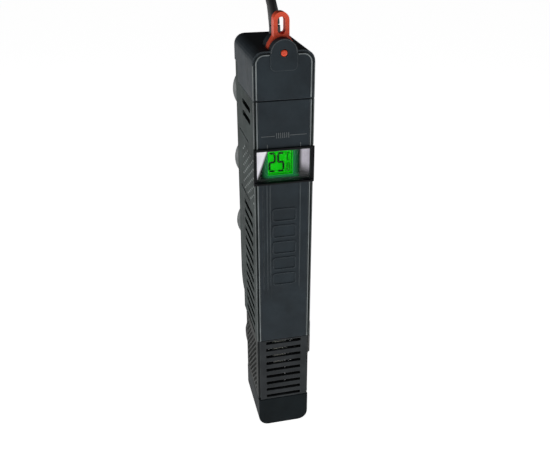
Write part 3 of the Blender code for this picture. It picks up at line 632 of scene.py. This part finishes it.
def make_materials():
    # Pale edge colours: partly wear, partly painted highlight along the edges
    dark_edge_wear_and_highlight, grey_edge_wear_and_highlight = (0.14, 0.16, 0.17), (0.20, 0.225, 0.225)
    return {
        "charcoal_plastic": moulded("charcoal_plastic", (0.018, 0.027, 0.034), 0.6, bump=0.5, grain=1500.0,
                                    specular=0.2, edge_wear_and_highlight=dark_edge_wear_and_highlight),
        "grey_plastic": moulded("grey_plastic", (0.034, 0.044, 0.042), 0.7, 0.3, grain=1100.0, bump=1.0,
                                specular=0.12, edge_wear_and_highlight=grey_edge_wear_and_highlight),
        "foot_plastic": moulded("foot_plastic", (0.006, 0.010, 0.012), 0.6, bump=0.5, grain=1500.0,
                                specular=0.08, edge_wear_and_highlight=(0.07, 0.08, 0.083)),
        # Paler materials for beads and ridges: painted highlights
        "bead_painted_highlight": moulded("bead_painted_highlight", (0.19, 0.215, 0.22), 0.35, 0.3, specular=0.5),
        "ridge_painted_highlight": moulded("ridge_painted_highlight", (0.060, 0.075, 0.082), 0.4, 0.3, specular=0.3),
        # A paler rim colour: a painted highlight on the ear's rim
        "rim_painted_highlight": moulded("rim_painted_highlight", (0.07, 0.08, 0.085), 0.4, 0.3, specular=0.3),
        # Pale grip domes: a painted highlight on each dome
        "grip_painted_highlight": moulded("grip_painted_highlight", (0.20, 0.225, 0.22), 0.4, 0.3, specular=0.5),
        # A paler colour for the corner beads: a painted highlight
        "corner_painted_highlight": moulded("corner_painted_highlight", (0.12, 0.135, 0.135), 0.4, 0.3, specular=0.4),
        "basket_plastic": basket_plastic(),
        "black_gloss": moulded("black_gloss", (0.004, 0.005, 0.006), 0.4, bump=0.1, specular=0.12,
                               edge_wear_and_highlight=(0.02, 0.023, 0.024)),
        "red_plastic": moulded("red_plastic", (0.80, 0.082, 0.032), 0.45, 0.12, specular=0.3,
                               edge_wear_and_highlight=(0.92, 0.18, 0.08)),
        "clear_lens": glass("clear_lens", (0.05, 0.06, 0.06), 0.06, transmission=0.0, alpha=0.05),
        "lcd_green": lit_display("lcd_green", (0.0, 0.42, 0.0), 0.88),
        "lcd_dark": moulded("lcd_dark", (0.0, 0.018, 0.002), 0.5, bump=0.05, specular=0.05),
        "board_green": moulded("board_green", (0.02, 0.16, 0.05), 0.45),
        "component_black": moulded("component_black", (0.010, 0.010, 0.011), 0.4),
        "sensor_glass": glass("sensor_glass", (0.45, 0.7, 0.55), 0.05),
        "cup_silicone": glass("cup_silicone", (0.12, 0.135, 0.135), 0.4, transmission=0.3),
        "tube_glass": glass("tube_glass", (0.92, 0.96, 0.95), 0.01),
        "ceramic": moulded("ceramic", (0.70, 0.66, 0.58), 0.75, 0.1),
        "bright_steel": metal("bright_steel", (0.60, 0.60, 0.60), 0.28),
        "satin_steel": metal("satin_steel", (0.95, 0.95, 0.95), 0.6),
        "brass_pin": metal("brass_pin", (0.72, 0.60, 0.36), 0.25),
        "black_rubber": moulded("black_rubber", (0.008, 0.008, 0.009), 0.5, 0.2, 1800.0, 0.35, 0.4),
        # A paler grey for the raised scale ticks: a painted highlight
        "tick_painted_highlight": moulded("tick_painted_highlight", (0.10, 0.115, 0.12), 0.5, 0.2, bump=0.1),
        # The display's painted green glow on the mask, shell and housing
        "mask_black": add_painted_glow(moulded("mask_black", (0.004, 0.005, 0.006), 0.4, bump=0.1, specular=0.12)),
        "shell_plastic": add_painted_glow(moulded("shell_plastic", (0.034, 0.044, 0.042), 0.7, 0.3, grain=1100.0,
                                          bump=1.0, specular=0.12, edge_wear_and_highlight=grey_edge_wear_and_highlight)),
        "housing_plastic": add_painted_glow(moulded("housing_plastic", (0.012, 0.014, 0.015), 0.5, specular=0.2)),
        # Painted reflections on the plates beside the display
        "reflector_left": reflector("reflector_left", (0.80, 0.78, 0.84), (-0.3587, -0.0859, -0.0016)),
        "reflector_right": reflector("reflector_right", (0.40, 0.38, 0.43), (2.0, 0.407, 0.019),
                                     (0.0, 0.0102, 0.0024)),
    }


# CAD nodes that stay: a material for each, and rounded edges on the hard ones

BEVELS = {
    "head_cap": 0.35, "guard_shell": 0.3, "left_release_tab": 0.3, "right_release_tab": 0.3,
    "foot_cap": 0.7, "lower_basket": 0.25, "mounting_bracket": 0.6, "temperature_lever": 0.55,
    "window_frame": 0.3, "lower_fascia": 0.3, "upper_fascia": 0.3, "lever_pivot_pin": 0.2,
    "hank_tie_near": 0.3, "hank_tie_far": 0.3, "head_housing": 0.4, "housing_lid": 0.3,
    "control_board": 0.1, "triac": 0.3, "relay": 0.5, "capacitor": 0.5, "tube_collar": 0.4,
}

# Nodes that show more than their slot's own material does: a darker foot, the basket with its painted
# highlight and shade, and the display's painted green glow on the dark parts round its window
SPECIAL_MATERIALS = {"foot_cap": "foot_plastic", "lower_basket": "basket_plastic",
                     "guard_shell": "shell_plastic", "head_housing": "housing_plastic",
                     "display_mask": "mask_black", "window_frame": "mask_black"}


def dress_cad_nodes(materials):
    slots = {s["node"]: s["material_slot"] for s in frame["record"]["subparts"]}
    for name, node in frame["nodes"].items():
        node.data.materials.clear()
        node.data.materials.append(materials[SPECIAL_MATERIALS.get(name, slots[name])])
        for polygon in node.data.polygons:
            polygon.material_index = 0
        weld = node.modifiers.new("weld", "WELD")
        weld.merge_threshold = 0.000002
        if name in BEVELS:
            flatten = node.modifiers.new("flat faces", "DECIMATE")
            flatten.decimate_type = "DISSOLVE"
            flatten.angle_limit = math.radians(1.0)
            add_bevel(node, BEVELS[name])


# Detail that the CAD model leaves out


def paint_bead_highlights(mesh, bead, line):
    """Give a panel's beads and ridges paler materials: painted highlights where light would catch them."""
    mesh.materials.append(bead)
    mesh.materials.append(line)
    ridges = [x for x, height in LOWER_LINES if height > 0]
    for polygon in mesh.polygons:
        corners = [mesh.vertices[v].co for v in polygon.vertices]
        if all(abs(c.x) > BEAD_INNER * MM and c.y < FRONT + MM for c in corners):
            polygon.material_index = 1
        elif any(all(abs(c.x / MM - x) < RIDGE_HALF and LINES_FADE[1] < c.z / MM < LOWER_PANEL[1] - 1
                     for c in corners) for x in ridges):
            polygon.material_index = 2


def add_front_panels(materials):
    """The two front panels with their beads, grooves, scale ticks and raised outlines."""
    charcoal = materials["charcoal_plastic"]
    lower = make_piece("lower_front_panel", [(add_panel, *LOWER_PANEL, LOWER_LINES, LINES_FADE)], charcoal)
    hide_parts("lower_fascia")
    upper = make_piece("upper_front_panel", [(add_panel, *UPPER_PANEL)], charcoal)
    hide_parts("upper_fascia")
    for panel in (lower, upper):
        paint_bead_highlights(panel.data, materials["bead_painted_highlight"], materials["ridge_painted_highlight"])

    left, right = EMBOSS_SIDES
    low, high = EMBOSS_SPAN
    height = (high - low - EMBOSS_GAP * (EMBOSS_COUNT - 1)) / EMBOSS_COUNT
    outlines = []
    for i in range(EMBOSS_COUNT):
        z = low + (height + EMBOSS_GAP) * i
        inner = rounded_rect(left + EMBOSS_STROKE, right - EMBOSS_STROKE, z + EMBOSS_STROKE,
                             z + height - EMBOSS_STROKE, 1.2)
        outlines.append((add_ring, rounded_rect(left, right, z, z + height, 2.0), inner, -0.42, 0.1, "y"))
    make_piece("panel_outlines", outlines, charcoal, bevel=0.12)

    first, pitch, count = TICKS
    ticks = [block(start, end, -0.12, 0.1, 223.3, 223.7) for start, end in TICK_LINES]
    for x in (first + pitch * i for i in range(count)):
        ticks.append(block(x - 0.22, x + 0.22, -0.2, 0.1, 222.0, 225.4))
    ticks += [block(x - 0.2, x + 0.2, -0.2, 0.1, 215.2, 218.4) for x in MARKS]
    # The ticks are a paler grey than the panel: painted highlights on their raised tops
    make_piece("scale_ticks", ticks, materials["tick_painted_highlight"], bevel=0.06)


def add_cap_lines(materials):
    """Beads round the head cap's upper corners, and the rounded rim of its front ear, both in paler
    materials as painted highlights.
    """
    beads = []
    for side in (-1, 1):
        corner = arc((side * 11.5, 266.6), 5.0, 0 if side > 0 else 180, 90, 8)
        path = [(side * 16.5, 0.2, 245.9), *((x, 0.2, z) for x, z in corner), (side * 8.4, 0.2, 271.6)]
        beads.append((add_sweep, path, 0.42, 10))
    make_piece("cap_beads", beads, materials["bead_painted_highlight"])
    rim = [(x, -0.45, z) for x, z in arc((0.0, 272.5), 7.6, 0, 180, 45)]
    make_piece("ear_rim", [(add_sweep, rim, 0.25, 8)], materials["rim_painted_highlight"])


def segment_boxes(left, right, low, high, stroke, letter):
    """The dark bars of one seven-segment character, each as left, right, low and high."""
    middle = (low + high) / 2
    half, gap = stroke / 2, 0.12 * stroke
    spans = {
        "a": (left + half, right - half, high - stroke, high),
        "d": (left + half, right - half, low, low + stroke),
        "g": (left + half, right - half, middle - half, middle + half),
        "f": (left, left + stroke, middle + gap, high - stroke - gap),
        "b": (right - stroke, right, middle + gap, high - stroke - gap),
        "e": (left, left + stroke, low + stroke + gap, middle - gap),
        "c": (right - stroke, right, low + stroke + gap, middle - gap),
    }
    return [spans[name] for name in SEGMENTS[letter]]


def add_display(materials):
    """Digits on the display, its small marks and border lines, and a plate carrying a painted reflection on
    each side of it.
    """
    bars = [bar for letter, *place in DIGITS for bar in segment_boxes(*place, letter)]
    blocks = [block(left, right, *DIGIT_DEPTHS, low, high)
              for left, right, low, high in (*bars, *DISPLAY_MARKS, *DISPLAY_LINES)]
    make_piece("display_digits", blocks, materials["lcd_dark"], bevel=0.04)
    for name, outline in (("left", PAINTED_REFLECTION_LEFT), ("right", rounded_rect(*PAINTED_REFLECTION_RIGHT))):
        make_piece("display_reflector_" + name, [(add_prism, outline, *PAINTED_REFLECTION_DEPTHS, "y")],
                   materials["reflector_" + name], bevel=0.05)


def add_cups(materials):
    for name, z in CUP_HEIGHTS.items():
        cup = make_piece(name + "_soft", [(add_lathe, CUP_PROFILE, "y", 72, (0.0, z))],
                         materials["cup_silicone"])
        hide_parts(name)


def add_grips(materials):
    """Small domes in staggered rows, for a finger's grip, on both sides and on their release tabs."""
    first, pitch, rows = GRIP_HEIGHTS
    for name, side in (("left", -1), ("right", 1)):
        profile = [(radius, side * along) for radius, along in GRIP_PROFILE]
        for area, places in GRIP_PLACES.items():
            domes = [(add_lathe, profile, "x", 12, (y + row % 2 * GRIP_STAGGER, first + pitch * row))
                     for row in range(rows) for y in places]
            body = name + "_tab" if area == "tab" else BODY
            # The domes are paler than the body: painted highlights
            make_piece(f"{name}_{area}_grips", domes, materials["grip_painted_highlight"], body)


def add_corner_beads(materials):
    """A thin rounded bead down each front corner of the guard, in a paler material as a painted highlight.
    """
    for name, side in (("left", -1), ("right", 1)):
        beads = [rod((side * 18.35, 0.42), 0.35, low, high) for low, high in CORNER_SPANS]
        make_piece(name + "_corner_beads", beads, materials["corner_painted_highlight"], bevel=0.08)


def add_screw_crosses(materials):
    """Raised quarters on each screw's head, which leave a cross-shaped recess between them."""
    for name, x in (("left", -SCREW_PLACE[0]), ("right", SCREW_PLACE[0])):
        quarters = []
        for start in range(0, 360, 90):
            middle = math.radians(start + 45)
            centre = (x + CROSS_HALF * math.cos(middle), SCREW_PLACE[1] + CROSS_HALF * math.sin(middle))
            outline = [centre, *arc(centre, 1.55, start, start + 90, 6)]
            quarters.append((add_prism, outline, *CROSS_DEPTHS, "y"))
        make_piece(name + "_screw_cross", quarters, materials["bright_steel"], bevel=0.06)


def add_tube_wire(materials):
    """A thin bright wire behind the lower slots."""
    make_piece("tube_support_wire", [rod((1.6, 2.85), 0.35, 36.0, 74.0)], materials["satin_steel"],
               bevel=0.1)


def add_plug_details(materials):
    """Grip ribs and sleeved pins on the plug, and a buckle on the near tie, all in the hank's own frame."""
    turn = Matrix.Translation((*HANK_START, 0.0)) @ Matrix.Rotation(math.radians(HANK_TURN), 4, "Z")
    rubber = materials["black_rubber"]
    ribs = [(add_prism, rounded_rect(-7.5, 7.5, along - 0.7, along + 0.7, 0.65), 45.7, 46.35, "z")
            for along in RIB_PLACES]
    make_piece("plug_grip_ribs", ribs, rubber, bevel=0.25, turn=turn)
    sleeves = [(add_ring, circle(centre, 2.2, 24), circle(centre, 2.03, 24), 109.0, 119.5, "y")
               for centre in PIN_CENTRES]
    make_piece("plug_pin_sleeves", sleeves, rubber, turn=turn)
    buckle = block(-4.6, 4.6, NEAR_TIE - 5.2, NEAR_TIE + 5.2, 32.0, 34.0)
    make_piece("tie_buckle", [buckle], rubber, bevel=0.5, turn=turn)


# Cord


def hank_point(side, along, height):
    """A point in the hank's own frame, in the heater's millimetres, as a point of the frame."""
    turn = math.radians(HANK_TURN)
    x = HANK_START[0] + side * math.cos(turn) - along * math.sin(turn)
    y = HANK_START[1] + side * math.sin(turn) + along * math.cos(turn)
    return at(x, y, height)


def ease(start, end, t):
    """From start to end along half a cosine wave."""
    return start + (end - start) * (1 - math.cos(math.pi * t)) / 2


def hank_loop_point(travelled):
    """Side and place along the hank, after so far round its loop from the left run's near end."""
    bend = math.pi * HANK_FOLD
    travelled %= 2 * (HANK_RUN + bend)
    if travelled < HANK_RUN:
        return -HANK_FOLD, travelled
    travelled -= HANK_RUN
    if travelled < bend:
        angle = math.pi - travelled / HANK_FOLD
        return HANK_FOLD * math.cos(angle), HANK_RUN + HANK_FOLD * math.sin(angle)
    travelled -= bend
    if travelled < HANK_RUN:
        return HANK_FOLD, HANK_RUN - travelled
    angle = -(travelled - HANK_RUN) / HANK_FOLD
    return HANK_FOLD * math.cos(angle), HANK_FOLD * math.sin(angle)


def smooth_route(route, spacing):
    """Points read at even spacing from one smooth curve through a route's own points."""
    knots = [Vector(p) for p in route]
    knots = [2 * knots[0] - knots[1], *knots, 2 * knots[-1] - knots[-2]]
    fine = []
    for a, b, c, d in zip(knots, knots[1:], knots[2:], knots[3:]):
        for i in range(12):
            t = i / 12
            fine.append(0.5 * (2 * b + (c - a) * t + (2 * a - 5 * b + 4 * c - d) * t ** 2
                               + (3 * b - a - 3 * c + d) * t ** 3))
    fine.append(knots[-2])
    steps = [(two - one).length for one, two in zip(fine, fine[1:])]
    count = max(2, round(sum(steps) / spacing))
    points, travelled, target = [fine[0]], 0.0, sum(steps) / count
    for one, two, step in zip(fine, fine[1:], steps):
        while travelled + step >= target * len(points) and len(points) < count:
            points.append(one.lerp(two, (target * len(points) - travelled) / step))
        travelled += step
    return [*points, fine[-1]]


def cord_points():
    """The whole cord: its free route, the merge into the hank, the turns, and the lead to the plug."""
    merge_start, merge_end, lead_start, lead_end = 33.0, 67.0, 10.0, 61.5
    route = [Vector(p) for p in CORD_ROUTE]
    for i in range(5):
        t = i / 5
        along = merge_start + (merge_end - merge_start) * t
        height = FLOOR_LAYER + (FIRST_LAYER - FLOOR_LAYER) * t
        route.append(hank_point(ease(-25.5, -HANK_FOLD, t), along, height))
    loop = 2 * (HANK_RUN + math.pi * HANK_FOLD)
    length = HANK_TURNS * loop + (loop - merge_end + lead_start)
    count = 120
    for i in range(count + 1):
        travelled = merge_end + length * i / count
        height = FIRST_LAYER + LAYER_RISE * (travelled - merge_end) / loop
        route.append(hank_point(*hank_loop_point(travelled), height))
    top = FIRST_LAYER + LAYER_RISE * length / loop
    plug_height = (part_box("plug_body")[0].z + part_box("plug_body")[1].z) / 2 / MM
    for i in range(1, 8):
        t = i / 7
        along = lead_start + (lead_end - lead_start) * t
        route.append(hank_point(ease(-HANK_FOLD, 0.0, t), along, ease(top, plug_height, t)))
    return smooth_route(route, 0.004)


def add_cord(materials):
    curve = bpy.data.curves.new("mains_cord", "CURVE")
    curve.dimensions = "3D"
    curve.bevel_depth = CORD_RADIUS
    curve.bevel_resolution = 4
    curve.use_fill_caps = True
    points = cord_points()
    spline = curve.splines.new("POLY")
    spline.points.add(len(points) - 1)
    for target, point in zip(spline.points, points):
        target.co = (*point, 1.0)
    spline.use_smooth = True
    curve.materials.append(materials["black_rubber"])
    cord = bpy.data.objects.new("mains_cord", curve)
    bpy.context.scene.collection.objects.link(cord)
    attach(cord, BODY)
    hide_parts("power_cord", "cord_hank", "plug_lead")


def main():
    materials = make_materials()
    add_camera()
    add_studio()
    dress_cad_nodes(materials)
    add_front_panels(materials)
    add_cap_lines(materials)
    add_display(materials)
    add_cups(materials)
    add_grips(materials)
    add_corner_beads(materials)
    add_screw_crosses(materials)
    add_tube_wire(materials)
    add_plug_details(materials)
    add_cord(materials)


main()
